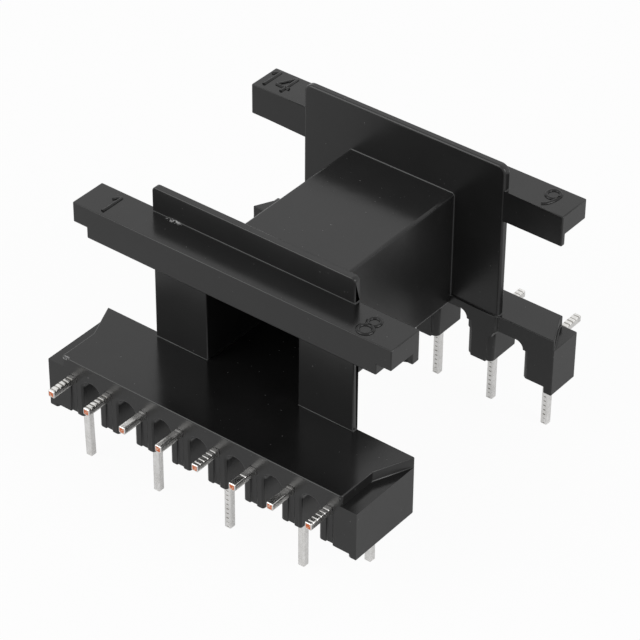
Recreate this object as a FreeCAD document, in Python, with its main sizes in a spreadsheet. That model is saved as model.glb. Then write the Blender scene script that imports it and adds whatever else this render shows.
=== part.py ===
import FreeCAD, Part
import math
import os
import Sketcher

# Bobbin for a pair of E cores, mounted with its winding tube lying along Y.
# X runs along the pin rows, Y from the near pin block to the far one, and Z up.
# The origin is under the middle of the part, on the plane of the pin tips.

SIZES = [
    # winding tube
    ("bore_width", 12.6),
    ("core_gap", 12.8),
    ("tube_wall", 0.95),
    ("tube_edge_round", 0.3),
    # flanges
    ("near_flange_width", 27.3),
    ("far_flange_width", 27.6),
    ("flange_thickness", 0.9),
    ("flange_span", 27.25),
    ("flange_rise", 3.1),
    ("near_flange_corner_round", 0.5),
    ("far_flange_corner_round", 1.0),
    ("near_flange_set_out", 0.7),
    ("far_flange_set_out", 0.85),
    ("far_flange_edge_round", 0.3),
    ("far_flange_base_step", 0.2),
    # top rails
    ("rail_length", 42.9),
    ("near_rail_depth", 4.8),
    ("far_rail_depth", 4.5),
    ("rail_height", 3.9),
    ("rail_notch_width", 1.9),
    ("rail_notch_height", 1.35),
    ("near_rail_wing", 1.1),
    ("far_rail_wing", 0.65),
    # pin blocks
    ("block_length", 42.7),
    ("block_height", 7.1),
    ("near_block_depth", 10.0),
    ("far_block_depth", 4.65),
    ("ledge_width", 2.0),
    ("ledge_drop", 1.3),
    ("near_ledge_run", 5.3),
    ("far_ledge_run", 0.6),
    ("foot_width", 1.1),
    ("near_foot_height", 0.5),
    ("far_foot_height", 0.8),
    # openings between the posts of the pin blocks
    ("near_channel_width", 2.35),
    ("near_channel_height", 5.0),
    ("near_arch_round", 1.1),
    ("near_mouth_round", 0.35),
    ("far_gap_width", 4.1),
    ("far_gap_height", 4.8),
    ("far_arch_round", 1.0),
    ("far_post_round", 0.7),
    ("tag_groove_depth", 0.2),
    # pins
    ("near_pin_count", 8),
    ("near_pin_pitch", 5.08),
    ("far_pin_count", 6),
    ("far_pin_pitch", 7.62),
    ("pin_width", 0.85),
    ("pin_fit", 0.0),
    ("pin_bend", 0.3),
    ("pin_tip_bevel", 0.15),
    ("tag_reach", 3.6),
    ("tag_drop", 1.95),
    ("near_leg_inset", 2.15),
    ("leg_row_step", 5.08),
    ("far_leg_inset", 1.8),
    ("leg_reach", 6.6),
]


class Term:
    """A size with the expression that gives it, so that sketches start at the value they are bound to."""

    def __init__(self, value, text):
        self.value = float(value)
        self.text = text

    def __add__(self, other):
        other = term(other)
        return Term(self.value + other.value, f"({self.text} + {other.text})")

    def __sub__(self, other):
        other = term(other)
        return Term(self.value - other.value, f"({self.text} - {other.text})")

    def __mul__(self, other):
        other = term(other)
        return Term(self.value * other.value, f"({self.text} * {other.text})")

    def __truediv__(self, other):
        other = term(other)
        return Term(self.value / other.value, f"({self.text} / {other.text})")

    def __neg__(self):
        return Term(-self.value, f"(-1 * {self.text})")


def term(number):
    """Turns a plain number into a term."""
    return number if isinstance(number, Term) else Term(number, repr(float(number)))


os.makedirs("parts", exist_ok=True)
doc = FreeCAD.newDocument("bobbin")
sheet = doc.addObject("Spreadsheet::Sheet", "Sizes")
size = {}
for row, (name, value) in enumerate(SIZES, start=1):
    sheet.set(f"A{row}", name)
    sheet.set(f"B{row}", str(value))
    sheet.setAlias(f"B{row}", name)
    size[name] = Term(value, f"Sizes.{name}")
doc.recompute()

# Heights above the board, from the pin tips up.
FEET = size["leg_reach"]
NEAR_BOTTOM = FEET + size["near_foot_height"]
FAR_BOTTOM = FEET + size["far_foot_height"]
BLOCK_TOP = NEAR_BOTTOM + size["block_height"]
RAIL_BOTTOM = BLOCK_TOP + size["core_gap"]
RAIL_TOP = RAIL_BOTTOM + size["rail_height"]
FLANGE_TOP = RAIL_TOP + size["flange_rise"]
TUBE_BOTTOM = BLOCK_TOP - size["tube_wall"]
TUBE_TOP = RAIL_BOTTOM + size["tube_wall"]
TAG_TOP = BLOCK_TOP - size["tag_drop"]
TAG_BOTTOM = TAG_TOP - size["pin_width"]

# Places along Y. The tags reach equally far at both ends, so the blocks' outer faces lie evenly about
# the origin.
SEAT_SPAN = size["flange_span"] - size["near_flange_set_out"] - size["far_flange_set_out"]
NEAR_FACE = -(size["near_block_depth"] + SEAT_SPAN + size["far_block_depth"]) / 2
NEAR_ROOT = NEAR_FACE + size["near_block_depth"]
FAR_ROOT = NEAR_ROOT + SEAT_SPAN
FAR_FACE = FAR_ROOT + size["far_block_depth"]
NEAR_FLANGE_OUT = NEAR_ROOT - size["near_flange_set_out"]
NEAR_FLANGE_IN = NEAR_FLANGE_OUT + size["flange_thickness"]
FAR_FLANGE_OUT = FAR_ROOT + size["far_flange_set_out"]
FAR_FLANGE_IN = FAR_FLANGE_OUT - size["flange_thickness"]
FAR_BASE_IN = FAR_FLANGE_IN - size["far_flange_base_step"]

# Half lengths along X.
RAIL_END = size["rail_length"] / 2
BLOCK_END = size["block_length"] / 2
NEAR_FLANGE_SIDE = size["near_flange_width"] / 2
FAR_FLANGE_SIDE = size["far_flange_width"] / 2
BORE_SIDE = size["bore_width"] / 2
TUBE_SIDE = BORE_SIDE + size["tube_wall"]

PAST = term(1.0)


def plane_of(body, role):
    """Returns one of the body's own origin planes."""
    return next(feature for feature in body.Origin.OriginFeatures if feature.Role == role)


def new_sketch(body, name, role, offset=None):
    """Adds a sketch on an origin plane of the body, shifted along the plane's normal."""
    sketch = body.newObject("Sketcher::SketchObject", name)
    sketch.AttachmentSupport = (plane_of(body, role), "")
    sketch.MapMode = "FlatFace"
    if offset is not None:
        sketch.setExpression("AttachmentOffset.Base.z", offset.text)
    return sketch


def bind(sketch, index, name, source):
    """Names a dimension of the sketch and ties it to the sizes."""
    sketch.renameConstraint(index, name)
    sketch.setExpression(f"Constraints.{name}", source.text)


def draw(sketch, corners, rounds=None):
    """Draws a closed outline through the corners.

    rounds gives, for a side by its number, the centre and the radius of the quarter circle that it is.
    """
    rounds = rounds or {}
    first = sketch.GeometryCount
    count = len(corners)
    clockwise = set()
    for side in range(count):
        x1, y1 = (corner.value for corner in corners[side])
        x2, y2 = (corner.value for corner in corners[(side + 1) % count])
        if side in rounds:
            cx, cy, radius = (entry.value for entry in rounds[side])
            circle = Part.Circle(FreeCAD.Vector(cx, cy, 0), FreeCAD.Vector(0, 0, 1), radius)
            start = math.atan2(y1 - cy, x1 - cx)
            stop = math.atan2(y2 - cy, x2 - cx)
            if (stop - start) % math.tau > math.pi:
                clockwise.add(side)
                start, stop = stop, start
            sketch.addGeometry(Part.ArcOfCircle(circle, start, stop))
        else:
            sketch.addGeometry(Part.LineSegment(FreeCAD.Vector(x1, y1, 0), FreeCAD.Vector(x2, y2, 0)))
    begins = [2 if side in clockwise else 1 for side in range(count)]
    for side in range(count):
        after = (side + 1) % count
        joint = (first + side, 3 - begins[side], first + after, begins[after])
        sketch.addConstraint(Sketcher.Constraint("Coincident", *joint))
    for side, (x, y) in enumerate(corners):
        line = first + side
        index = sketch.addConstraint(Sketcher.Constraint("DistanceX", -1, 1, line, begins[side], x.value))
        bind(sketch, index, f"across_{line}", x)
        index = sketch.addConstraint(Sketcher.Constraint("DistanceY", -1, 1, line, begins[side], y.value))
        bind(sketch, index, f"along_{line}", y)
    for side, (_, _, radius) in rounds.items():
        line = first + side
        index = sketch.addConstraint(Sketcher.Constraint("Radius", line, radius.value))
        bind(sketch, index, f"round_{line}", radius)


def rectangle(left, right, low, high):
    """Corners of a rectangle, anticlockwise."""
    return [(left, low), (right, low), (right, high), (left, high)]


def pad(body, sketch, length, symmetric=False, backwards=False):
    """Adds material along the sketch's normal."""
    feature = body.newObject("PartDesign::Pad", sketch.Name + "_pad")
    feature.Profile = sketch
    feature.SideType = "Symmetric" if symmetric else "One side"
    feature.Reversed = backwards
    feature.setExpression("Length", length.text)
    doc.recompute()
    return feature


def pocket(body, sketch, length, symmetric=False, backwards=False):
    """Removes material, by default against the sketch's normal, and makes sure that it did."""
    before = body.Shape.Volume
    feature = body.newObject("PartDesign::Pocket", sketch.Name + "_pocket")
    feature.Profile = sketch
    feature.SideType = "Symmetric" if symmetric else "One side"
    feature.Reversed = backwards
    feature.setExpression("Length", length.text)
    doc.recompute()
    if feature.Shape.Volume >= before:
        raise RuntimeError(f"{feature.Name} removed nothing")
    return feature


def row_of(body, features, step, count, sketch):
    """Repeats features along X: count is a number of copies and step the distance between two."""
    pattern = body.newObject("PartDesign::LinearPattern", sketch.Name + "_row")
    pattern.Originals = features
    pattern.Direction = (sketch, ["H_Axis"])
    pattern.Mode = "Spacing"
    pattern.setExpression("Offset", step.text)
    pattern.setExpression("Occurrences", count.text)
    body.Tip = pattern
    doc.recompute()
    return pattern


def both_ends(body, features, name):
    """Repeats features at the other end of the part, which is its mirror image across the YZ plane."""
    mirror = body.newObject("PartDesign::Mirrored", name)
    mirror.Originals = features
    mirror.MirrorPlane = (plane_of(body, "YZ_Plane"), [""])
    body.Tip = mirror
    doc.recompute()
    return mirror


def round_edges(body, name, radius, wanted):
    """Rounds the edges of the body that the test picks out by their ends."""
    base = body.Tip
    picked = []
    for number, edge in enumerate(base.Shape.Edges, start=1):
        if isinstance(edge.Curve, Part.Line) and wanted(edge.Vertexes[0].Point, edge.Vertexes[1].Point):
            picked.append(f"Edge{number}")
    if not picked:
        raise RuntimeError(f"{name} found no edge")
    feature = body.newObject("PartDesign::Fillet", name)
    feature.Base = (base, picked)
    feature.setExpression("Radius", radius.text)
    doc.recompute()
    return feature


def near(value, goal):
    """Says whether two places are the same but for rounding of numbers."""
    return abs(value - goal.value) < 1e-4


def upright(a, b):
    """Says whether an edge between two points runs along Z."""
    return abs(a.x - b.x) < 1e-6 and abs(a.y - b.y) < 1e-6


def along_y(a, b):
    """Says whether an edge between two points runs along Y."""
    return abs(a.x - b.x) < 1e-6 and abs(a.z - b.z) < 1e-6


def add_flange(body, name, outer, side, low, radius, backwards):
    """A flange: a thin plate from the foot of its block up past the rail, with rounded top corners."""
    sketch = new_sketch(body, name, "XZ_Plane", -outer)
    corners = [
        (-side, low),
        (side, low),
        (side, FLANGE_TOP - radius),
        (side - radius, FLANGE_TOP),
        (-side + radius, FLANGE_TOP),
        (-side, FLANGE_TOP - radius),
    ]
    rounds = {
        2: (side - radius, FLANGE_TOP - radius, radius),
        4: (-side + radius, FLANGE_TOP - radius, radius),
    }
    draw(sketch, corners, rounds)
    return pad(body, sketch, size["flange_thickness"], backwards=backwards)


def add_bar(body, name, outer, inner, low, high, length):
    """A long straight bar across the part, such as a rail or a pin block."""
    sketch = new_sketch(body, name, "YZ_Plane")
    draw(sketch, rectangle(outer, inner, low, high))
    return pad(body, sketch, length, symmetric=True)


def add_far_base(body):
    """The thicker foot of the far flange, up to the top of its block, with the flange's rounded edges."""
    radius = size["far_flange_edge_round"]
    side = FAR_FLANGE_SIDE
    corners = [
        (-side + radius, FAR_BASE_IN),
        (side - radius, FAR_BASE_IN),
        (side, FAR_BASE_IN + radius),
        (side, FAR_FLANGE_OUT),
        (-side, FAR_FLANGE_OUT),
        (-side, FAR_BASE_IN + radius),
    ]
    rounds = {
        1: (side - radius, FAR_BASE_IN + radius, radius),
        5: (-side + radius, FAR_BASE_IN + radius, radius),
    }
    sketch = new_sketch(body, "far_base", "XY_Plane", FAR_BOTTOM)
    draw(sketch, corners, rounds)
    pad(body, sketch, BLOCK_TOP - FAR_BOTTOM)


def ledge_outline(face, root, run, side):
    """The step in a block's top at its end: straight by the outer face, then flared out to the end."""
    inner = BLOCK_END - size["ledge_width"]
    beyond = BLOCK_END + PAST
    outside = face - PAST * side
    return [
        (inner, outside),
        (beyond, outside),
        (beyond, root),
        (BLOCK_END, root),
        (inner, face + run * side),
    ]


def add_ledges(body):
    """Steps down the ends of both pin blocks."""
    steps = []
    for name, face, root, run, side in (
        ("near_ledge", NEAR_FACE, NEAR_ROOT, size["near_ledge_run"], 1),
        ("far_ledge", FAR_FACE, FAR_ROOT, size["far_ledge_run"], -1),
    ):
        sketch = new_sketch(body, name, "XY_Plane", BLOCK_TOP)
        draw(sketch, ledge_outline(face, root, run, side))
        steps.append(pocket(body, sketch, size["ledge_drop"]))
    both_ends(body, steps, "ledges")


def add_rail_notches(body):
    """Cuts the underside of the rails' ends back, but for a thin full-height wing beside the flange."""
    steps = []
    inner = RAIL_END - size["rail_notch_width"]
    for end, root, side in (("near", NEAR_ROOT, -1), ("far", FAR_ROOT, 1)):
        thickness = size[f"{end}_rail_wing"]
        wing = root + thickness * side
        outside = root + (size[f"{end}_rail_depth"] + PAST) * side
        flare = wing + size["far_rail_wing"] * side
        sketch = new_sketch(body, f"{end}_notch", "XY_Plane", RAIL_BOTTOM)
        corners = [
            (inner, outside),
            (RAIL_END + PAST, outside),
            (RAIL_END + PAST, wing),
            (RAIL_END - size["far_rail_wing"], wing),
            (inner, flare),
        ]
        draw(sketch, corners)
        steps.append(pocket(body, sketch, size["rail_notch_height"], backwards=True))
    both_ends(body, steps, "rail_notches")


def add_feet(body):
    """Stand-off strips under the ends of both blocks, which keep the part off the board."""
    strips = []
    for end, low, face, root in (
        ("near", NEAR_BOTTOM, NEAR_FACE, NEAR_ROOT),
        ("far", FAR_BOTTOM, FAR_FACE, FAR_ROOT),
    ):
        sketch = new_sketch(body, f"{end}_foot", "XY_Plane", low)
        draw(sketch, rectangle(BLOCK_END - size["foot_width"], BLOCK_END, face, root))
        strips.append(pad(body, sketch, size[f"{end}_foot_height"], backwards=True))
    both_ends(body, strips, "feet")


def arch(centre, width, low, height, radius):
    """An opening that stands on the block's underside and ends in a rounded top."""
    left = centre - width / 2
    right = centre + width / 2
    top = low + height
    corners = [
        (left, low - PAST),
        (right, low - PAST),
        (right, top - radius),
        (right - radius, top),
        (left + radius, top),
        (left, top - radius),
    ]
    rounds = {
        2: (right - radius, top - radius, radius),
        4: (left + radius, top - radius, radius),
    }
    return corners, rounds


def add_near_channels(body):
    """Wire channels between the near pins, through the block and the flange behind it, with soft mouths."""
    first = -size["near_pin_pitch"] * (size["near_pin_count"] / 2 - 1)
    sketch = new_sketch(body, "near_channel", "XZ_Plane", -NEAR_FACE)
    width, radius = size["near_channel_width"], size["near_arch_round"]
    draw(sketch, *arch(first, width, NEAR_BOTTOM, size["near_channel_height"], radius))
    cut = pocket(body, sketch, NEAR_FLANGE_IN - NEAR_FACE + PAST)
    row_of(body, [cut], size["near_pin_pitch"], size["near_pin_count"] - 1, sketch)
    round_edges(
        body, "near_mouths", size["near_mouth_round"],
        lambda a, b: upright(a, b) and near(a.y, NEAR_FACE) and abs(a.x) < BLOCK_END.value - PAST.value,
    )


def add_far_gap(body, name, first, inner, height, count):
    """A row of gaps of one height, whose posts have rounded corners towards the winding."""
    width, radius, soft = size["far_gap_width"], size["far_arch_round"], size["far_post_round"]
    sketch = new_sketch(body, name, "XZ_Plane", -FAR_FACE)
    draw(sketch, *arch(first, width, FAR_BOTTOM, height, radius))
    steps = [pocket(body, sketch, FAR_FACE - FAR_BASE_IN + PAST, backwards=True)]
    left = first - width / 2
    right = first + width / 2
    plan = new_sketch(body, f"{name}_corners", "XY_Plane", FAR_BOTTOM + height - radius)
    corners = [
        (left - soft, inner - PAST),
        (right + soft, inner - PAST),
        (right + soft, inner),
        (right, inner + soft),
        (left, inner + soft),
        (left - soft, inner),
    ]
    rounds = {
        2: (right + soft, inner + soft, soft),
        4: (left - soft, inner + soft, soft),
    }
    draw(plan, corners, rounds)
    steps.append(pocket(body, plan, height + PAST))
    row_of(body, steps, size["far_pin_pitch"], count, sketch)


def add_far_gaps(body):
    """Gaps between the far pins. Those under the winding reach up to the underside of the tube."""
    step = size["far_pin_pitch"]
    first = -step * (size["far_pin_count"] / 2 - 1)
    add_far_gap(body, "far_gap", first, FAR_ROOT, size["far_gap_height"], size["far_pin_count"] - 1)
    tall = TUBE_BOTTOM - FAR_BOTTOM
    add_far_gap(body, "far_tall_gap", first + step, FAR_BASE_IN, tall, size["far_pin_count"] - 3)


def first_pin(side):
    """X of the first pin of a row."""
    return -size[f"{side}_pin_pitch"] * (size[f"{side}_pin_count"] - 1) / 2


def add_tag_grooves(body):
    """Shallow grooves down the outer faces of the posts, below the tags."""
    for side, face, backwards in (("near", NEAR_FACE, False), ("far", FAR_FACE, True)):
        half = size["pin_width"] / 2
        x = first_pin(side)
        sketch = new_sketch(body, f"{side}_groove", "XZ_Plane", -face)
        draw(sketch, rectangle(x - half, x + half, FEET - PAST, TAG_BOTTOM))
        cut = pocket(body, sketch, size["tag_groove_depth"], backwards=backwards)
        row_of(body, [cut], size[f"{side}_pin_pitch"], size[f"{side}_pin_count"], sketch)


def pin_rows():
    """The rows that the pins stand in: name, side, first place, stride, and the leg's centre."""
    near_leg = NEAR_FACE + size["near_leg_inset"]
    far_leg = FAR_FACE - size["far_leg_inset"]
    return [
        ("near_odd", "near", 0, 2, near_leg),
        ("near_even", "near", 1, 2, near_leg + size["leg_row_step"]),
        ("far_all", "far", 0, 1, far_leg),
    ]


def pin_outline(side, leg, spare, ends):
    """Side view of a pin: the tag from its tip to the bend, and the leg down from there.

    spare is the clearance round the pin, and ends is how far the shape is drawn past both tips.
    """
    out = -1 if side == "near" else 1
    face = NEAR_FACE if side == "near" else FAR_FACE
    half = size["pin_width"] / 2 + spare
    tip = face + (size["tag_reach"] + ends) * out
    back = leg - half * out
    front = leg + half * out
    top = TAG_TOP + spare
    under = TAG_BOTTOM - spare
    low = -ends
    inner = size["pin_bend"] - spare
    outer = size["pin_bend"] + size["pin_width"] + spare
    centre_y = back + outer * out
    centre_z = top - outer
    corners = [
        (tip, under),
        (centre_y, under),
        (front, centre_z),
        (front, low),
        (back, low),
        (back, centre_z),
        (centre_y, top),
        (tip, top),
    ]
    rounds = {1: (centre_y, centre_z, inner), 5: (centre_y, centre_z, outer)}
    return corners, rounds


def add_pin_holes(body):
    """The seats of the pins, in the shape of the pins with the clearance of their fit."""
    for name, side, start, stride, leg in pin_rows():
        x = first_pin(side) + size[f"{side}_pin_pitch"] * start
        sketch = new_sketch(body, f"{name}_seat", "YZ_Plane", x)
        draw(sketch, *pin_outline(side, leg, size["pin_fit"], PAST))
        cut = pocket(body, sketch, size["pin_width"] + size["pin_fit"] * 2, symmetric=True)
        pattern = body.newObject("PartDesign::LinearPattern", f"{name}_seats")
        pattern.Originals = [cut]
        pattern.Direction = (plane_of(body, "YZ_Plane"), [""])
        pattern.Mode = "Spacing"
        pattern.setExpression("Offset", (size[f"{side}_pin_pitch"] * stride).text)
        pattern.setExpression("Occurrences", (size[f"{side}_pin_count"] / stride).text)
        body.Tip = pattern
        doc.recompute()


def make_moulding():
    """The whole moulding: plates, tube, rails and blocks, then what is cut out of them."""
    body = doc.addObject("PartDesign::Body", "bobbin_body")
    near_round, far_round = size["near_flange_corner_round"], size["far_flange_corner_round"]
    add_flange(body, "near_flange", NEAR_FLANGE_OUT, NEAR_FLANGE_SIDE, NEAR_BOTTOM, near_round, True)
    tube = new_sketch(body, "tube", "XZ_Plane", -NEAR_FLANGE_IN)
    draw(tube, rectangle(-TUBE_SIDE, TUBE_SIDE, TUBE_BOTTOM, TUBE_TOP))
    pad(body, tube, FAR_FLANGE_IN - NEAR_FLANGE_IN, backwards=True)
    round_edges(
        body, "tube_edges", size["tube_edge_round"],
        lambda a, b: along_y(a, b) and near(abs(a.x), TUBE_SIDE) and a.distanceToPoint(b) > PAST.value,
    )
    add_flange(body, "far_flange", FAR_FLANGE_OUT, FAR_FLANGE_SIDE, FAR_BOTTOM, far_round, False)
    round_edges(
        body, "far_flange_edges", size["far_flange_edge_round"],
        lambda a, b: upright(a, b) and near(a.y, FAR_FLANGE_IN) and near(abs(a.x), FAR_FLANGE_SIDE),
    )
    add_far_base(body)
    near_rail = NEAR_ROOT - size["near_rail_depth"]
    far_rail = FAR_ROOT + size["far_rail_depth"]
    add_bar(body, "near_rail", near_rail, NEAR_ROOT, RAIL_BOTTOM, RAIL_TOP, size["rail_length"])
    add_bar(body, "far_rail", FAR_ROOT, far_rail, RAIL_BOTTOM, RAIL_TOP, size["rail_length"])
    add_bar(body, "near_block", NEAR_FACE, NEAR_ROOT, NEAR_BOTTOM, BLOCK_TOP, size["block_length"])
    add_bar(body, "far_block", FAR_ROOT, FAR_FACE, FAR_BOTTOM, BLOCK_TOP, size["block_length"])
    add_feet(body)
    bore = new_sketch(body, "bore", "XZ_Plane", -NEAR_FACE)
    draw(bore, rectangle(-BORE_SIDE, BORE_SIDE, BLOCK_TOP, RAIL_BOTTOM))
    pocket(body, bore, FAR_FACE - NEAR_FACE)
    add_ledges(body)
    add_rail_notches(body)
    add_near_channels(body)
    add_far_gaps(body)
    add_tag_grooves(body)
    add_pin_holes(body)
    return body


def make_pin(number, side, x, leg):
    """One pin: square wire bent to an L, with the tips bevelled."""
    body = doc.addObject("PartDesign::Body", f"pin_{number}")
    sketch = new_sketch(body, f"pin_{number}_side", "YZ_Plane", x)
    draw(sketch, *pin_outline(side, leg, term(0.0), term(0.0)))
    pad(body, sketch, size["pin_width"], symmetric=True)
    wire = body.Tip
    bevel = body.newObject("PartDesign::Chamfer", f"pin_{number}_bevel")
    faces = []
    for index, face in enumerate(wire.Shape.Faces, start=1):
        centre = face.CenterOfMass
        if near(centre.z, term(0.0)) or near(abs(centre.y), FAR_FACE + size["tag_reach"]):
            faces.append(f"Face{index}")
    bevel.Base = (wire, faces)
    bevel.setExpression("Size", size["pin_tip_bevel"].text)
    doc.recompute()
    return body


def check(feature):
    """Stops the build if a feature failed or a piece isn't a valid solid."""
    if {"Invalid", "Error"} & set(feature.State):
        raise RuntimeError(f"{feature.Name} failed: {feature.State}")


pieces = [make_moulding()]
number = 1
near_leg = NEAR_FACE + size["near_leg_inset"]
for place in range(int(size["near_pin_count"].value)):
    leg = near_leg + size["leg_row_step"] * (place % 2)
    pieces.append(make_pin(number, "near", first_pin("near") + size["near_pin_pitch"] * place, leg))
    number += 1
for place in reversed(range(int(size["far_pin_count"].value))):
    leg = FAR_FACE - size["far_leg_inset"]
    pieces.append(make_pin(number, "far", first_pin("far") + size["far_pin_pitch"] * place, leg))
    number += 1

doc.recompute()
for feature in doc.Objects:
    check(feature)
for piece in pieces:
    if piece.Shape.isNull() or not piece.Shape.isValid() or len(piece.Shape.Solids) != 1:
        raise RuntimeError(f"{piece.Label} isn't one valid solid")
for piece in pieces:
    piece.Shape.exportStep(f"parts/{piece.Label}.step")
    print(piece.Label, round(piece.Shape.Volume, 2), piece.Shape.BoundBox)
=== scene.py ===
"""Looks of a transformer bobbin: a glossy black moulding with fourteen bent pins of tinned wire."""

import logging
import math
from dataclasses import dataclass
from enum import Enum, IntEnum
from typing import Any, Iterator, Sequence

import bmesh
import bpy
from mathutils import Matrix, Vector
from mathutils.bvhtree import BVHTree


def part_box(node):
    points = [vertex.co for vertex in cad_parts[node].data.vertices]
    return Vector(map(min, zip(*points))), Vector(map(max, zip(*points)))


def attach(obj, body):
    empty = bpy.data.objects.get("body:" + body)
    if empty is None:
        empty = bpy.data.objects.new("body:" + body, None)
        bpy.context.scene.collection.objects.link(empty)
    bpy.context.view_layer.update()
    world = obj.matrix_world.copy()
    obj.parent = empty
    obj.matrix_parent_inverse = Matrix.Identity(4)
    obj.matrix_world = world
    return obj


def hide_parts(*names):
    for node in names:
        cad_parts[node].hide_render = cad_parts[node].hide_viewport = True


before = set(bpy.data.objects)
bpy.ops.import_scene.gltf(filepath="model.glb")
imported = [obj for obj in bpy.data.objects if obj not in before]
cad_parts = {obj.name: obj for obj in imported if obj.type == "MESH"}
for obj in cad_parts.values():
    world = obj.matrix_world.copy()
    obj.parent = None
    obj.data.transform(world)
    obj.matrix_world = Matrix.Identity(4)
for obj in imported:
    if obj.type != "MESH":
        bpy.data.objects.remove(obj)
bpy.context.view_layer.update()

MM = 0.001
WHITE = (1.0, 1.0, 1.0, 1.0)
log = logging.getLogger("bobbin")
Colour = tuple[float, float, float, float]
Pair = tuple[float, float]
Triple = tuple[float, float, float]


def grey(level: float) -> Colour:
    """Returns a neutral colour of the given linear level."""
    return (level, level, level, 1.0)


class Signal:
    """A shader socket that can be used in arithmetic."""

    def __init__(self, graph: "Graph", socket: bpy.types.NodeSocket) -> None:
        """Wraps one output socket of the graph."""
        self.graph = graph
        self.socket = socket

    def _math(self, operation: str, first: Any, second: Any) -> "Signal":
        """Adds a Math node on two values."""
        return self.graph.node("ShaderNodeMath", {"operation": operation}, {0: first, 1: second})

    def __add__(self, other: Any) -> "Signal":
        """Returns self + other."""
        return self._math("ADD", self, other)

    __radd__ = __add__

    def __sub__(self, other: Any) -> "Signal":
        """Returns self - other."""
        return self._math("SUBTRACT", self, other)

    def __rsub__(self, other: Any) -> "Signal":
        """Returns other - self."""
        return self._math("SUBTRACT", other, self)

    def __mul__(self, other: Any) -> "Signal":
        """Returns self * other."""
        return self._math("MULTIPLY", self, other)

    __rmul__ = __mul__

    def most(self, other: Any) -> "Signal":
        """Returns the larger of two values."""
        return self._math("MAXIMUM", self, other)


class Graph:
    """Makes the nodes of one material or world."""

    SEED_WAY = (1.0, 0.7, 1.3)
    MIX_SOCKETS = (0, 6, 7)
    MIX_RESULT = 2

    def __init__(self, tree: bpy.types.NodeTree) -> None:
        """Empties the tree."""
        self.tree = tree
        tree.nodes.clear()

    def node(self, kind: str, settings: dict[str, Any] | None = None,
             values: dict[Any, Any] | None = None, output: int | str = 0) -> Signal | None:
        """Adds a node.

        Args:
            kind: The node's type.
            settings: Its settings, set first. "stops" holds a ramp's stops as (position, colour) pairs.
            values: What its sockets hold, by name or number: a Signal is linked, anything else is set.
            output: The output that is returned.

        Returns:
            The chosen output, or None for a node that has none.
        """
        made = self.tree.nodes.new(kind)
        for name, value in (settings or {}).items():
            if name == "stops":
                self._set_stops(made.color_ramp, value)
            else:
                setattr(made, name, value)
        for name, value in (values or {}).items():
            if isinstance(value, Signal):
                self.tree.links.new(value.socket, made.inputs[name])
            else:
                made.inputs[name].default_value = value
        return Signal(self, made.outputs[output]) if len(made.outputs) else None

    @staticmethod
    def _set_stops(ramp: bpy.types.ColorRamp, stops: Sequence[tuple[float, Colour]]) -> None:
        """Gives a colour ramp exactly the stops listed.

        Args:
            ramp: The ramp, which has two stops or fewer than are listed.
            stops: The position and the colour of each stop.
        """
        while len(ramp.elements) < len(stops):
            ramp.elements.new(1.0)
        for element, (position, colour) in zip(ramp.elements, stops):
            element.position = position
            element.color = colour

    def mix(self, factor: Any, first: Any, second: Any) -> Signal:
        """Blends two colours by a factor."""
        values = dict(zip(self.MIX_SOCKETS, (factor, first, second)))
        return self.node("ShaderNodeMix", {"data_type": "RGBA"}, values, self.MIX_RESULT)

    def place(self) -> Signal:
        """Returns the position on the object, in metres."""
        return self.node("ShaderNodeTexCoord", output="Object")

    def vector(self, operation: str, values: dict[int, Any], output: int | str = 0) -> Signal:
        """Adds a Vector Math node."""
        return self.node("ShaderNodeVectorMath", {"operation": operation}, values, output)

    def noise(self, size: float, detail: float = 2.0, roughness: float = 0.5,
              stretch: Sequence[float] = (1, 1, 1), seed: float = 0.0) -> Signal:
        """Adds a smooth noise.

        Args:
            size: The size of one patch, in millimetres.
            detail: How many finer layers it has.
            roughness: How strong the finer layers are.
            stretch: How many times longer a patch is along each axis.
            seed: Which noise of this size it is.

        Returns:
            The noise, from 0 to 1.
        """
        scale = tuple(1.0 / (size * MM * factor) for factor in stretch)
        shift = tuple(seed * part for part in self.SEED_WAY)
        spot = self.node("ShaderNodeMapping", {}, {0: self.place(), "Location": shift, "Scale": scale})
        values = {"Vector": spot, "Scale": 1.0, "Detail": detail, "Roughness": roughness}
        return self.node("ShaderNodeTexNoise", {}, values)

    def fade(self, value: Signal, span: Pair, levels: Pair = (0.0, 1.0)) -> Signal:
        """Takes a value evenly from one level to the other as it crosses a span, and no further."""
        stops = [(position, grey(level)) for position, level in zip(span, levels)]
        return self.node("ShaderNodeValToRGB", {"stops": stops}, {0: value})

    def bump(self, height: Signal) -> Signal:
        """Returns a normal bent by a height in millimetres."""
        return self.node("ShaderNodeBump", {}, {"Height": height, "Distance": MM, "Strength": 1.0})

    def surface(self, values: dict[str, Any]) -> None:
        """Adds the Principled shader and the output."""
        shader = self.node("ShaderNodeBsdfPrincipled", {}, values)
        self.node("ShaderNodeOutputMaterial", {}, {"Surface": shader})


def new_material(name: str) -> tuple[bpy.types.Material, Graph]:
    """Makes an empty material.

    Args:
        name: The material's name.

    Returns:
        The material and its graph.
    """
    material = bpy.data.materials.new(name)
    material.use_nodes = True
    return material, Graph(material.node_tree)


@dataclass(frozen=True)
class GlintPatch:
    """A small painted highlight on the moulding: an oval about a centre, in millimetres."""

    centre: Triple
    reach: Triple
    full_share: float = 0.6

    def mask(self, graph: Graph) -> Signal:
        """Marks the painted highlight.

        Args:
            graph: The graph that gets the nodes.

        Returns:
            1 inside the place and 0 outside it.
        """
        centre, reach = ([part * MM for part in point] for point in (self.centre, self.reach))
        offset = graph.vector("SUBTRACT", {0: graph.place(), 1: centre})
        share = graph.vector("DIVIDE", {0: offset, 1: reach})
        return 1.0 - graph.fade(graph.vector("LENGTH", {0: share}, "Value"), (self.full_share, 1.0))


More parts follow.
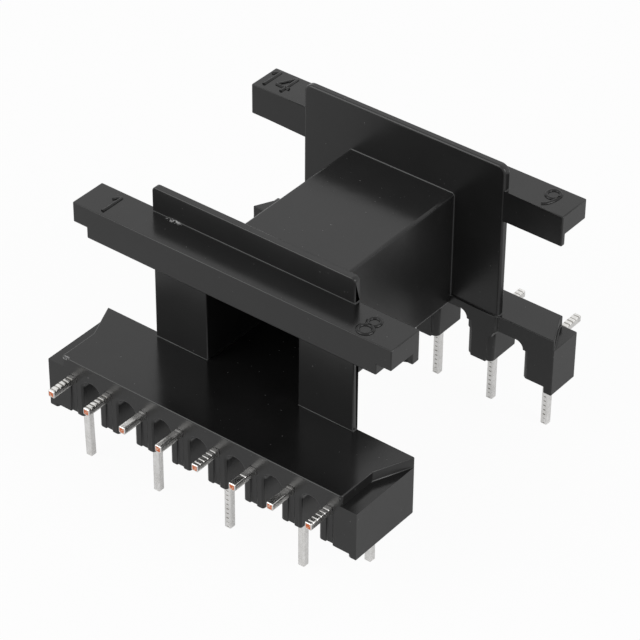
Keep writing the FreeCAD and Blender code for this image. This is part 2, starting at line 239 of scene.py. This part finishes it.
@dataclass(frozen=True)
class GlossyMoulding:
    """Black moulding compound: polished on its level faces, duller on its upright ones, with a little dust
    and a few painted highlights.

    Sizes and heights are in millimetres. A span is the part of a noise over which its mark fades in.
    """

    name: str = "black_moulding"
    base: float = 0.009
    tone_factors: Pair = (0.85, 1.2)
    cloud_size: float = 5.0
    cloud_span: Pair = (0.25, 0.75)
    dust: float = 0.14
    dust_size: float = 0.3
    dust_span: Pair = (0.79, 0.82)
    dust_dullness: float = 0.3
    dust_height: float = 0.003
    upright_sheen: float = 0.3
    level_sheen: float = 0.19
    facing_span: Pair = (0.4, 0.8)
    sheen_spread: float = 0.07
    streak_size: float = 1.1
    streak_stretch: Triple = (4.0, 1.0, 1.0)
    streak_spread: float = 0.042
    grain_size: float = 0.12
    grain_height: float = 0.0009
    wave_size: float = 3.2
    wave_height: float = 0.012
    index: float = 1.46
    # Painted highlights: patches where a light grey is painted into the colour.
    glint_patches: tuple[GlintPatch, ...] = ()
    glint_tone: float = 0.42
    glint_size: float = 0.2
    glint_stretch: Triple = (1.5, 1.0, 1.0)
    glint_span: Pair = (0.47, 0.55)

    def glint_mask(self, graph: Graph) -> Signal:
        """Marks where the painted highlights lie, broken into specks by a noise.

        Args:
            graph: The graph that gets the nodes.

        Returns:
            1 where a highlight is painted and 0 elsewhere.
        """
        marks = graph.noise(self.glint_size, stretch=self.glint_stretch, seed=9.0)
        return sum((scuff.mask(graph) for scuff in self.glint_patches), 0.0) * graph.fade(marks, self.glint_span)

    def roughness(self, graph: Graph, clouds: Signal) -> Signal:
        """Makes upright faces duller than level ones, and both a little uneven.

        Args:
            graph: The graph that gets the nodes.
            clouds: The broad noise that the tone follows too.

        Returns:
            The roughness without dust.
        """
        normal = graph.node("ShaderNodeTexCoord", output="Normal")
        facing_up = graph.node("ShaderNodeSeparateXYZ", {}, {0: normal}, output="Z").most(0.0)
        sheen = graph.fade(facing_up, self.facing_span, (self.upright_sheen, self.level_sheen))
        streaks = graph.noise(self.streak_size, detail=3.0, stretch=self.streak_stretch, seed=3.0)
        return sheen + (clouds - 0.5) * self.sheen_spread + (streaks - 0.5) * self.streak_spread

    def material(self) -> bpy.types.Material:
        """Builds the material.

        Returns:
            The material.
        """
        material, graph = new_material(self.name)
        clouds = graph.noise(self.cloud_size, detail=3.0)
        specks = graph.fade(graph.noise(self.dust_size, detail=1.0, seed=11.0), self.dust_span)
        grain = graph.noise(self.grain_size, seed=5.0)
        waves = graph.noise(self.wave_size, detail=1.0, seed=7.0)
        darkest, lightest = (self.base * factor for factor in self.tone_factors)
        tone = graph.fade(clouds, self.cloud_span, (darkest, lightest))
        dusty = graph.mix(specks, tone, grey(self.dust))
        graph.surface({
            # Painted highlights: the glint patches mix a light grey into the colour.
            "Base Color": graph.mix(self.glint_mask(graph), dusty, grey(self.glint_tone)),
            "Roughness": self.roughness(graph, clouds) + specks * self.dust_dullness,
            "IOR": self.index,
            "Normal": graph.bump(grain * self.grain_height + waves * self.wave_height
                                 + specks * self.dust_height),
        })
        return material


@dataclass(frozen=True)
class TinnedWire:
    """Tin on square wire, a little cloudy, with drawn lines along the wire.

    Sizes and heights are in millimetres.
    """

    name: str = "tin"
    bright: Colour = (0.86, 0.85, 0.83, 1.0)
    dull: Colour = (0.64, 0.63, 0.61, 1.0)
    sheen: float = 0.16
    sheen_spread: float = 0.18
    cloud_size: float = 0.7
    cloud_share: float = 0.6
    cloud_height: float = 0.006
    line_size: float = 0.16
    line_share: float = 0.4
    line_height: float = 0.004
    line_stretch: Triple = (0.5, 14.0, 0.5)
    patch_span: Pair = (0.38, 0.62)

    def material(self) -> bpy.types.Material:
        """Builds the material.

        Returns:
            The material.
        """
        material, graph = new_material(self.name)
        clouds = graph.noise(self.cloud_size, detail=4.0, roughness=0.6)
        lines = graph.noise(self.line_size, stretch=self.line_stretch, seed=2.0)
        cleaned = graph.fade(clouds * self.cloud_share + lines * self.line_share, self.patch_span)
        graph.surface({
            "Base Color": graph.mix(cleaned, self.dull, self.bright),
            "Metallic": 1.0,
            "Roughness": clouds * self.sheen_spread + self.sheen,
            "Normal": graph.bump(clouds * self.cloud_height + lines * self.line_height),
        })
        return material


@dataclass(frozen=True)
class CutCopper:
    """The bare copper of a wire's cut end, torn on one side and smeared with tin on the other.

    Sizes and heights are in millimetres.
    """

    name: str = "cut_copper"
    copper: Colour = (0.68, 0.16, 0.05, 1.0)
    smear: Colour = (0.86, 0.60, 0.47, 1.0)
    smear_span: Pair = (0.48, 0.6)
    sheen: float = 0.22
    sheen_spread: float = 0.3
    tear_size: float = 0.28
    tear_height: float = 0.03
    scratch_size: float = 0.05
    scratch_height: float = 0.008
    scratch_stretch: Triple = (6.0, 1.0, 1.0)

    def material(self) -> bpy.types.Material:
        """Builds the material.

        Returns:
            The material.
        """
        material, graph = new_material(self.name)
        torn = graph.noise(self.tear_size, detail=4.0, roughness=0.65)
        scratches = graph.noise(self.scratch_size, stretch=self.scratch_stretch, seed=4.0)
        graph.surface({
            "Base Color": graph.mix(graph.fade(torn, self.smear_span), self.copper, self.smear),
            "Metallic": 1.0,
            "Roughness": torn * self.sheen_spread + self.sheen,
            "Normal": graph.bump(torn * self.tear_height + scratches * self.scratch_height),
        })
        return material


def finish_mesh(mesh: bmesh.types.BMesh, name: str,
                materials: Sequence[bpy.types.Material]) -> bpy.types.Object:
    """Turns a built mesh into an object in the scene.

    Args:
        mesh: The mesh, which is freed.
        name: The object's name.
        materials: Its materials, in the order that its faces number them.

    Returns:
        The object.
    """
    bmesh.ops.recalc_face_normals(mesh, faces=mesh.faces)
    data = bpy.data.meshes.new(name)
    mesh.to_mesh(data)
    mesh.free()
    for material in materials:
        data.materials.append(material)
    piece = bpy.data.objects.new(name, data)
    bpy.context.scene.collection.objects.link(piece)
    return piece


@dataclass
class Moulding:
    """The one-piece moulding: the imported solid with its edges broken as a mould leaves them.

    Lengths and places are in millimetres. A point may lie up to stray_limit off the solid, and edges stay
    sharp within stray_reach of one that lies further off.
    """

    # Two painted highlights: on the near rail's top, and at the near block's top front corner at its left
    # end.
    finish: GlossyMoulding = GlossyMoulding(glint_patches=(
        GlintPatch((-10.6, -11.05, 30.9), (1.3, 0.3, 0.3)),
        GlintPatch((-18.9, -20.1, 14.2), (0.75, 0.4, 0.3)),
    ))
    node: str = "bobbin_body"
    join_reach: float = 0.001
    edge_break: float = 0.12
    edge_steps: int = 2
    flat_limit: float = math.radians(1.0)
    sharp_limit: float = math.radians(32.0)
    level_cosine: float = 0.9999
    stray_limit: float = 0.085
    stray_reach: float = 0.5
    tries: int = 4
    most_corners: int = 4
    crisp_low: Triple = (-17.7, 15.2, 10.1)
    crisp_high: Triple = (17.7, 20.3, 12.35)

    def is_flat(self, face: bmesh.types.BMFace) -> bool:
        """Tells a flat face from a strip of a rounding: every flat face here is square to an axis."""
        return max(abs(part) for part in face.normal) > self.level_cosine

    def is_crisp(self, edge: bmesh.types.BMEdge) -> bool:
        """Tells whether an edge belongs to the roofs of the far gaps, which stay crisp."""
        return all(low < part / MM < high for vert in edge.verts
                   for low, part, high in zip(self.crisp_low, vert.co, self.crisp_high))

    def solid(self) -> bmesh.types.BMesh:
        """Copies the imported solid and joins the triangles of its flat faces.

        Returns:
            The copy.
        """
        mesh = bmesh.new()
        mesh.from_mesh(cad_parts[self.node].data)
        bmesh.ops.remove_doubles(mesh, verts=mesh.verts, dist=self.join_reach * MM)
        bmesh.ops.dissolve_limit(mesh, angle_limit=self.flat_limit, verts=mesh.verts, edges=mesh.edges)
        return mesh

    def break_edges(self, mesh: bmesh.types.BMesh, kept: Sequence[Vector]) -> None:
        """Rounds the sharp edges.

        Args:
            mesh: The moulding.
            kept: Places near which the edges stay as they are.
        """
        for face in mesh.faces:
            face.smooth = not self.is_flat(face)
        still = {vert for vert in mesh.verts
                 if any((vert.co - place).length < self.stray_reach * MM for place in kept)}
        sharp = [edge for edge in mesh.edges if edge.is_manifold and still.isdisjoint(edge.verts)
                 and edge.calc_face_angle(0.0) > self.sharp_limit and not self.is_crisp(edge)]
        broken = bmesh.ops.bevel(mesh, geom=sharp, offset=self.edge_break * MM, segments=self.edge_steps,
                                 profile=0.5, affect="EDGES", clamp_overlap=False, harden_normals=False)
        for face in broken["faces"]:
            face.smooth = True

    def build(self) -> bpy.types.Object:
        """Breaks the solid's edges, and tries again without those that put points off its surface.

        Returns:
            The dressed moulding.
        """
        skin = self.solid()
        surface = BVHTree.FromBMesh(skin)
        skin.free()
        kept: list[Vector] = []
        for attempt in range(self.tries):
            mesh = self.solid()
            self.break_edges(mesh, kept)
            nearest = [surface.find_nearest(vert.co) for vert in mesh.verts]
            strays = [place for place, _, _, gap in nearest if gap > self.stray_limit * MM]
            log.info("try %d: %d points off the surface", attempt + 1, len(strays))
            if not strays:
                break
            kept += strays
        many_sided = [face for face in mesh.faces if len(face.verts) > self.most_corners]
        bmesh.ops.triangulate(mesh, faces=many_sided)
        return finish_mesh(mesh, "moulding", [self.finish.material()])

    def fit(self) -> list[bpy.types.Object]:
        """Builds the moulding and stands it in for its solid.

        Returns:
            The one piece that it is.
        """
        piece = self.build()
        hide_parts(self.node)
        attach(piece, "root")
        return [piece]


class TagMark(Enum):
    """What the forming tool left on the top of a winding tag."""

    SERRATED = "serrated"
    BANDED = "banded"
    NICKED = "nicked"
    SMOOTH = "smooth"


class LegMark(Enum):
    """What the forming tool left on the front of a leg."""

    DRAWN = "drawn"
    LADDER = "ladder"


class PinSide(Enum):
    """Which block a pin stands in, with the way its tag points along Y."""

    NEAR = -1
    FAR = 1


class PinRun(Enum):
    """The runs of a bent pin, from the tag's tip to the leg's tip."""

    TAG = "tag"
    BEND = "bend"
    LEG = "leg"


class PinSkin(IntEnum):
    """The materials of a pin, in the order that its faces number them."""

    TAG_TIN = 0
    LEG_TIN = 1
    COPPER = 2
    # Darker tin, painted as shade in the grooves.
    GROOVE_SHADED_TIN = 3


@dataclass(frozen=True)
class Station:
    """A place along a pin's path, in millimetres: the wire's centre and the length along its run.

    Up is the direction that points up on the tag and turns with the wire.
    """

    centre: Vector
    up: Vector
    run: PinRun
    along: float


RingPoint = tuple[bmesh.types.BMVert, float]


def dent(along: float, middle: float, half: float) -> float:
    """Returns how deep a V-shaped dent is at a length along the wire, from 0 to 1."""
    return max(0.0, 1.0 - abs(along - middle) / half)


@dataclass
class Pin:
    """One bent pin of square wire: a tag for the winding and a leg for the board.

    Lengths are in millimetres. Places across the wire are shares of its half width, from -1 to 1.
    """

    number: int
    side: PinSide
    tag_mark: TagMark
    leg_mark: LegMark
    materials: Sequence[bpy.types.Material]
    lean: float = 0.0
    lean_from: float = 0.3
    corner: float = 0.11
    corner_steps: int = 3
    side_shares: Triple = (0.5, 0.0, -0.5)
    bend_inner: float = 0.3
    bend_steps: int = 8
    visible_tag: float = 3.5
    ring_gap: float = 0.07
    tag_chamfer: float = 0.07
    tag_cap_share: float = 0.88
    tag_cap_shift: Triple = (0.03, 0.0, 0.03)
    tip_chamfer: float = 0.12
    tip_cap_share: float = 0.9
    marked_top: float = 0.6
    first_groove: float = 0.42
    groove_step: float = 0.62
    groove_count: int = 5
    groove_half: float = 0.14
    groove_depth: float = 0.055
    nick_middle: float = 1.75
    pinch_middle: float = 3.2
    pinch_depth: float = 0.0275
    marked_front: float = 0.9
    rung_step: float = 0.62
    rung_half: float = 0.1
    rung_depth: float = 0.05
    rung_reach: float = 0.6
    line_depth: float = 0.012
    line_reach: float = 0.2
    dark_from: float = 0.35

    def box(self) -> tuple[Vector, Vector]:
        """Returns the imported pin's box."""
        low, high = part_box(f"pin_{self.number}")
        return low / MM, high / MM

    def section(self, half: float) -> list[Pair]:
        """Draws the wire's cross-section: a square with rounded corners and a few points on each side.

        Args:
            half: The wire's half width.

        Returns:
            The points across and up the wire, in order round it.
        """
        inner = half - self.corner
        corner_step = math.pi / (2 * self.corner_steps)
        points = []
        for quarter in range(4):
            turn = Matrix.Rotation(math.pi / 2 * quarter, 2)
            for step in range(self.corner_steps + 1):
                angle = corner_step * step
                points.append(turn @ Vector((inner + math.cos(angle) * self.corner,
                                             inner + math.sin(angle) * self.corner)))
            for share in self.side_shares:
                points.append(turn @ Vector((inner * share, half)))
        return [(point.x, point.y) for point in points]

    def path(self) -> Iterator[Station]:
        """Walks from the tag's tip to the leg's tip.

        Yields:
            Each place along the way.
        """
        low, high = self.box()
        out = self.side.value
        x = (low.x + high.x) / 2
        half = (high.x - low.x) / 2
        z = high.z - half
        tip = low.y if self.side is PinSide.NEAR else high.y
        leg = high.y - half if self.side is PinSide.NEAR else low.y + half
        radius = half + self.bend_inner
        tag = min(abs(tip - leg) - radius, self.visible_tag)
        count = round(tag / self.ring_gap)
        for step in range(count + 1):
            along = tag * step / count
            yield Station(Vector((x, tip - out * along, z)), Vector((0, 0, 1)), PinRun.TAG, along)
        for step in range(self.bend_steps + 1):
            angle = math.pi / 2 * step / self.bend_steps
            centre = Vector((x, leg + out * radius, z - radius))
            ray = Vector((0, -out * math.sin(angle), math.cos(angle)))
            yield Station(centre + ray * radius, ray, PinRun.BEND, 0.0)
        drop = z - radius
        count = round(drop / self.ring_gap)
        for step in range(1, count + 1):
            along = drop * step / count
            shift = self.lean * max(0.0, along - drop * self.lean_from) / drop
            yield Station(Vector((x + shift, leg, drop - along)), Vector((0, -out, 0)), PinRun.LEG, along)

    def tag_dent(self, along: float) -> float:
        """Gives the tool's mark on the top of the tag.

        Args:
            along: The length along the tag.

        Returns:
            How deep the mark is there.
        """
        if self.tag_mark is TagMark.NICKED:
            return self.groove_depth * dent(along, self.nick_middle, self.groove_half)
        if self.tag_mark is TagMark.SMOOTH:
            return self.pinch_depth * dent(along, self.pinch_middle, self.groove_half)
        middles = [self.first_groove + self.groove_step * place for place in range(self.groove_count)]
        return self.groove_depth * max(dent(along, middle, self.groove_half) for middle in middles)

    def leg_dent(self, along: float, across: float) -> float:
        """Gives the tool's mark on the front of the leg.

        Args:
            along: The length along the leg.
            across: The place across the wire.

        Returns:
            How deep the mark is there.
        """
        if self.leg_mark is LegMark.LADDER and abs(across) < self.rung_reach:
            return self.rung_depth * dent(along % self.rung_step, self.rung_step / 2, self.rung_half)
        return self.line_depth if abs(across) < self.line_reach else 0.0

    def form(self, station: Station, from_tip: float, across: float, upward: float) -> float:
        """Gives how far the forming tool pushed a point of the surface.

        Args:
            station: The place along the pin.
            from_tip: How far that is from the pin's tip on that side.
            across: The point's place across the wire.
            upward: The point's place up the wire.

        Returns:
            The push along the station's up.
        """
        if station.run is PinRun.TAG and upward > self.marked_top:
            return -self.tag_dent(station.along)
        front = -upward if self.side is PinSide.NEAR else upward
        if station.run is PinRun.LEG and front > self.marked_front and from_tip > self.tip_chamfer:
            return -math.copysign(self.leg_dent(station.along, across), upward)
        return 0.0

    def ring(self, mesh: bmesh.types.BMesh, station: Station, half: float, drop: float) -> list[RingPoint]:
        """Adds the points of one cross-section, smaller at the tips.

        Args:
            mesh: The mesh that gets the points.
            station: The place along the pin.
            half: The wire's half width.
            drop: The leg's length.

        Returns:
            Each point, with its push as a share of a groove's depth.
        """
        on_tag = station.run is PinRun.TAG
        from_tip = station.along if on_tag else drop - station.along
        chamfer = self.tag_chamfer if on_tag else self.tip_chamfer
        shrink = 1.0 - max(0.0, chamfer - from_tip) / half
        ring = []
        for across, upward in self.section(half):
            lift = self.form(station, from_tip, across / half, upward / half)
            place = station.centre + Vector((across * shrink, 0, 0)) + station.up * (upward * shrink + lift)
            ring.append((mesh.verts.new(place * MM), abs(lift) / self.groove_depth))
        return ring

    def skin(self, mesh: bmesh.types.BMesh, first: list[RingPoint], second: list[RingPoint],
             skin: PinSkin) -> None:
        """Joins two rings with faces, which get a darker tin as painted shade where they are pressed in.

        Args:
            mesh: The mesh that gets the faces.
            first: The ring nearer to the tag's tip.
            second: The ring after it.
            skin: The material of the faces that aren't pressed in.
        """
        # Painted shade: faces in the deeper dents of serrated tags and of legs get the darker tin.
        dull = skin is PinSkin.LEG_TIN or self.tag_mark is TagMark.SERRATED
        for index, corner in enumerate(first):
            before = index - 1
            corners = (first[before], corner, second[index], second[before])
            face = mesh.faces.new([vert for vert, _ in corners])
            face.smooth = True
            pressed = sum(depth for _, depth in corners) / len(corners) > self.dark_from
            face.material_index = PinSkin.GROOVE_SHADED_TIN if dull and pressed else skin

    def cap(self, mesh: bmesh.types.BMesh, points: list[RingPoint], share: float, shift: Triple) -> None:
        """Closes an end with a rim of tin round the cut copper.

        Args:
            mesh: The mesh that gets the faces.
            points: The ring at the end.
            share: The size of the copper as a share of the end.
            shift: How far the copper is from the middle.
        """
        ring = [vert for vert, _ in points]
        centre = sum((vert.co for vert in ring), Vector()) / len(ring)
        inner = [mesh.verts.new(centre + Vector(shift) * MM + (vert.co - centre) * share) for vert in ring]
        for index, corner in enumerate(ring):
            before = index - 1
            rim = mesh.faces.new((ring[before], corner, inner[index], inner[before]))
            rim.material_index = PinSkin.TAG_TIN
        mesh.faces.new(inner).material_index = PinSkin.COPPER

    def build(self) -> bpy.types.Object:
        """Sweeps the section along the path and closes both ends.

        Returns:
            The dressed pin.
        """
        mesh = bmesh.new()
        low, high = self.box()
        half = (high.x - low.x) / 2
        stations = list(self.path())
        drop = stations[-1].along
        rings = [self.ring(mesh, station, half, drop) for station in stations]
        for first, second, station in zip(rings, rings[1:], stations[1:]):
            on_tag = station.run is PinRun.TAG
            self.skin(mesh, first, second, PinSkin.TAG_TIN if on_tag else PinSkin.LEG_TIN)
        self.cap(mesh, rings[0], self.tag_cap_share, self.tag_cap_shift)
        self.cap(mesh, rings[-1], self.tip_cap_share, (0.0, 0.0, 0.0))
        return finish_mesh(mesh, f"tinned_pin_{self.number}", self.materials)

    def fit(self) -> bpy.types.Object:
        """Builds the pin and stands it in for its solid.

        Returns:
            The pin.
        """
        piece = self.build()
        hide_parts(f"pin_{self.number}")
        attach(piece, "root")
        return piece


@dataclass
class PinField:
    """All fourteen pins, each with the marks that the photograph shows on its tag and leg."""

    near_marks: Sequence[tuple[TagMark, LegMark]] = (
        (TagMark.SERRATED, LegMark.DRAWN), (TagMark.SERRATED, LegMark.DRAWN),
        (TagMark.SMOOTH, LegMark.DRAWN), (TagMark.SMOOTH, LegMark.DRAWN),
        (TagMark.BANDED, LegMark.LADDER), (TagMark.NICKED, LegMark.LADDER),
        (TagMark.SMOOTH, LegMark.DRAWN), (TagMark.BANDED, LegMark.DRAWN),
    )
    far_count: int = 6
    first_lean: float = 0.3
    tag_tin: TinnedWire = TinnedWire()
    leg_tin: TinnedWire = TinnedWire(name="leg_tin", line_stretch=(0.5, 0.5, 14.0), sheen=0.2,
                                     bright=(0.95, 0.94, 0.93, 1.0), dull=(0.80, 0.79, 0.77, 1.0))
    copper: CutCopper = CutCopper()
    # A darker tin, painted as shade in the pressed grooves.
    groove_shaded_tin: TinnedWire = TinnedWire(name="groove_shaded_tin", sheen=0.35,
                                         bright=(0.42, 0.41, 0.38, 1.0), dull=(0.24, 0.23, 0.21, 1.0))

    def fit(self) -> list[bpy.types.Object]:
        """Builds every pin.

        Returns:
            The pins, in the order of their numbers.
        """
        finishes = (self.tag_tin, self.leg_tin, self.copper, self.groove_shaded_tin)
        materials = [finish.material() for finish in finishes]
        made = []
        for number, (tag_mark, leg_mark) in enumerate(self.near_marks, start=1):
            lean = self.first_lean if number == 1 else 0.0
            made.append(Pin(number, PinSide.NEAR, tag_mark, leg_mark, materials, lean).fit())
        for place in range(self.far_count):
            number = len(self.near_marks) + 1 + place
            made.append(Pin(number, PinSide.FAR, TagMark.SERRATED, LegMark.LADDER, materials).fit())
        return made


Stroke = list[Pair]
LOOP_DEGREES = 15.0
FEWEST_LOOP_STEPS = 8


def loop(x: float, y: float, across: float, along: float, start: float = 0.0, turn: float = 360.0) -> Stroke:
    """Draws an oval or a part of one.

    Args:
        x: Its centre, to the right.
        y: Its centre, upwards.
        across: Its half width.
        along: Its half height.
        start: The angle it starts at, in degrees.
        turn: The angle it goes through, in degrees.

    Returns:
        Its points.
    """
    count = max(FEWEST_LOOP_STEPS, round(abs(turn) / LOOP_DEGREES))
    angles = [math.radians(start + turn * step / count) for step in range(count + 1)]
    return [(x + across * math.cos(angle), y + along * math.sin(angle)) for angle in angles]


DIGITS: dict[str, list[Stroke]] = {
    "1": [[(-0.62, 0.72), (-0.05, 1.35), (0.0, 1.3), (0.0, -1.35)]],
    "4": [[(0.35, -1.35), (0.35, 1.3), (0.28, 1.35), (-0.75, -0.5), (-0.7, -0.58), (0.8, -0.58)]],
    "8": [loop(0, -0.66, 0.72, 0.7), loop(0, 0.68, 0.6, 0.62)],
    "9": [loop(0, 0.62, 0.7, 0.72), loop(-0.25, 0.6, 0.95, 1.95, 0, -80)],
}


@dataclass
class RailNumber:
    """A pin number that stands proud on the top of a rail, as round-backed strokes.

    Lengths are in millimetres. The digits' strokes are 2.7 tall before they are sized.
    """

    text: str
    x: float
    y: float
    surface: float = 30.9
    bead: float = 0.25
    bead_steps: int = 3
    sunk: float = 0.06
    pitch: float = 2.05
    size: float = 1.15

    def strokes(self) -> Iterator[list[Vector]]:
        """Walks through the strokes of every digit.

        Yields:
            The points of each stroke on the rail, in metres.
        """
        height = self.surface - self.sunk
        for place, digit in enumerate(self.text):
            middle = self.x + (place - (len(self.text) - 1) / 2) * self.pitch
            for stroke in DIGITS[digit]:
                yield [Vector((middle + across * self.size, self.y + along * self.size, height)) * MM
                       for across, along in stroke]

    def sweep(self) -> bpy.types.Mesh:
        """Sweeps a round bead along the strokes.

        Returns:
            The beads as one mesh.
        """
        data = bpy.data.curves.new(f"rail_number_{self.text}", "CURVE")
        data.dimensions = "3D"
        data.bevel_depth = self.bead * MM
        data.bevel_resolution = self.bead_steps
        data.use_fill_caps = True
        for stroke in self.strokes():
            spline = data.splines.new("POLY")
            spline.points.add(len(stroke) - 1)
            for point, spot in zip(spline.points, stroke):
                point.co = (*spot, 1.0)
        curve = bpy.data.objects.new(f"strokes_{self.text}", data)
        bpy.context.scene.collection.objects.link(curve)
        bpy.context.view_layer.update()
        mesh = bpy.data.meshes.new_from_object(curve.evaluated_get(bpy.context.evaluated_depsgraph_get()))
        bpy.data.objects.remove(curve)
        return mesh

    def fit(self, material: bpy.types.Material) -> bpy.types.Object:
        """Builds the number on its rail.

        Args:
            material: Its material.

        Returns:
            The number.
        """
        mesh = self.sweep()
        mesh.materials.clear()
        mesh.materials.append(material)
        for polygon in mesh.polygons:
            polygon.use_smooth = True
        piece = bpy.data.objects.new(f"rail_number_{self.text}", mesh)
        bpy.context.scene.collection.objects.link(piece)
        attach(piece, "root")
        return piece


@dataclass
class NumberField:
    """The numbers of the four corner pins, at the ends of the two rails."""

    # Painted shade: the numbers get a darker copy of the moulding, with a lower index, so that their strokes
    # read dark.
    finish: GlossyMoulding = GlossyMoulding(name="shaded_number_moulding", base=0.0075, level_sheen=0.2, index=1.36)
    numbers: Sequence[RailNumber] = (
        RailNumber("1", -17.75, -12.75), RailNumber("8", 17.1, -12.85),
        RailNumber("14", -19.3, 17.9), RailNumber("9", 18.2, 17.75),
    )

    def fit(self) -> list[bpy.types.Object]:
        """Builds every number."""
        material = self.finish.material()
        return [number.fit(material) for number in self.numbers]


@dataclass(frozen=True)
class Lamp:
    """A square soft lamp: its place and size in metres, and its power in watts."""

    name: str
    place: Triple
    size: float
    power: float


@dataclass
class Studio:
    """A pale floor, soft light from all round and the photograph's camera.

    The camera's lengths are in millimetres and its angles in degrees. The floor and the lamps are in metres.
    """

    target: Triple = (5.304, -5.911, 22.2)
    distance: float = 324.83
    azimuth: float = 37.783
    elevation: float = 36.439
    roll: float = -0.473
    lens: float = 171.27
    sensor: float = 36.0
    nearest: float = 10.0
    farthest: float = 10000.0
    floor_half: float = 1.5
    floor_level: float = 0.8
    camera_glow: float = 0.95
    mirrored_glow: float = 0.35
    ambient: float = 0.45
    lamp_aim: Triple = (0.0, 0.0, 0.015)
    lamps: Sequence[Lamp] = (
        Lamp("key", (-0.33, -0.40, 0.44), 0.5, 1.6),
        Lamp("fill", (0.5, 0.05, 0.3), 0.3, 1.25),
    )

    def place_camera(self) -> None:
        """Sets the camera at the photograph's viewing angle."""
        turn, rise, tilt = (math.radians(angle) for angle in (self.azimuth, self.elevation, self.roll))
        back = Vector((math.sin(turn) * math.cos(rise), -math.cos(turn) * math.cos(rise), math.sin(rise)))
        right = Vector((math.cos(turn), math.sin(turn), 0.0))
        up = back.cross(right)
        tilted_right = right * math.cos(tilt) - up * math.sin(tilt)
        tilted_up = right * math.sin(tilt) + up * math.cos(tilt)
        data = bpy.data.cameras.new("photo_camera")
        data.lens = self.lens
        data.sensor_width = self.sensor
        data.clip_start = self.nearest * MM
        data.clip_end = self.farthest * MM
        camera = bpy.data.objects.new("photo_camera", data)
        axes = Matrix((tilted_right, tilted_up, back)).transposed().to_4x4()
        camera.matrix_world = Matrix.Translation((Vector(self.target) + back * self.distance) * MM) @ axes
        bpy.context.scene.collection.objects.link(camera)
        bpy.context.scene.camera = camera

    @staticmethod
    def ray_kinds(graph: Graph) -> tuple[Signal, Signal]:
        """Tells how a ray comes to a surface.

        Args:
            graph: The graph that gets the nodes.

        Returns:
            1 for rays straight from the camera, and 1 for rays by way of a shiny or clear surface.
        """
        camera, glossy, clear = (graph.node("ShaderNodeLightPath", output=name)
                                 for name in ("Is Camera Ray", "Is Glossy Ray", "Is Transmission Ray"))
        return camera, glossy.most(clear)

    def lay_floor(self) -> None:
        """Lays a pale floor that shows as white and keeps a faint shadow, which mirrors see in full."""
        mesh = bmesh.new()
        bmesh.ops.create_grid(mesh, x_segments=1, y_segments=1, size=self.floor_half)
        material, graph = new_material("pale_floor")
        paper = graph.node("ShaderNodeBsdfDiffuse", {}, {"Color": grey(self.floor_level)})
        glow = graph.node("ShaderNodeEmission", {}, {"Color": WHITE, "Strength": 1.0})
        camera, mirrored = self.ray_kinds(graph)
        share = (self.camera_glow * camera).most(self.mirrored_glow * mirrored)
        both = graph.node("ShaderNodeMixShader", {}, {0: share, 1: paper, 2: glow})
        graph.node("ShaderNodeOutputMaterial", {}, {"Surface": both})
        finish_mesh(mesh, "floor", [material])

    def light_world(self) -> None:
        """Makes the surroundings white to look at and a plain soft light to be lit by."""
        world = bpy.data.worlds.new("studio")
        bpy.context.scene.world = world
        world.use_nodes = True
        graph = Graph(world.node_tree)
        camera, mirrored = self.ray_kinds(graph)
        strength = camera.most(mirrored) * (1.0 - self.ambient) + self.ambient
        sky = graph.node("ShaderNodeBackground", {}, {"Color": WHITE, "Strength": strength})
        graph.node("ShaderNodeOutputWorld", {}, {"Surface": sky})

    def hang_lamp(self, lamp: Lamp) -> None:
        """Hangs a lamp that faces the object.

        Args:
            lamp: The lamp.
        """
        data = bpy.data.lights.new(lamp.name, "AREA")
        data.shape = "SQUARE"
        data.size = lamp.size
        data.energy = lamp.power
        made = bpy.data.objects.new(lamp.name, data)
        spot = Vector(lamp.place)
        aim = Vector(self.lamp_aim) - spot
        made.matrix_world = Matrix.Translation(spot) @ aim.to_track_quat("-Z", "Y").to_matrix().to_4x4()
        bpy.context.scene.collection.objects.link(made)

    def set_up(self) -> None:
        """Sets up floor, light and camera."""
        self.lay_floor()
        self.light_world()
        for lamp in self.lamps:
            self.hang_lamp(lamp)
        self.place_camera()
        bpy.context.scene.view_settings.view_transform = "Standard"


def main() -> None:
    """Builds and dresses every piece, and reports each one."""
    logging.basicConfig(level=logging.INFO, format="%(name)s: %(message)s")
    for assembly in (Moulding(), PinField(), NumberField()):
        for piece in assembly.fit():
            log.info("%s: %d faces", piece.name, len(piece.data.polygons))
    Studio().set_up()


if __name__ == "__main__":
    main()
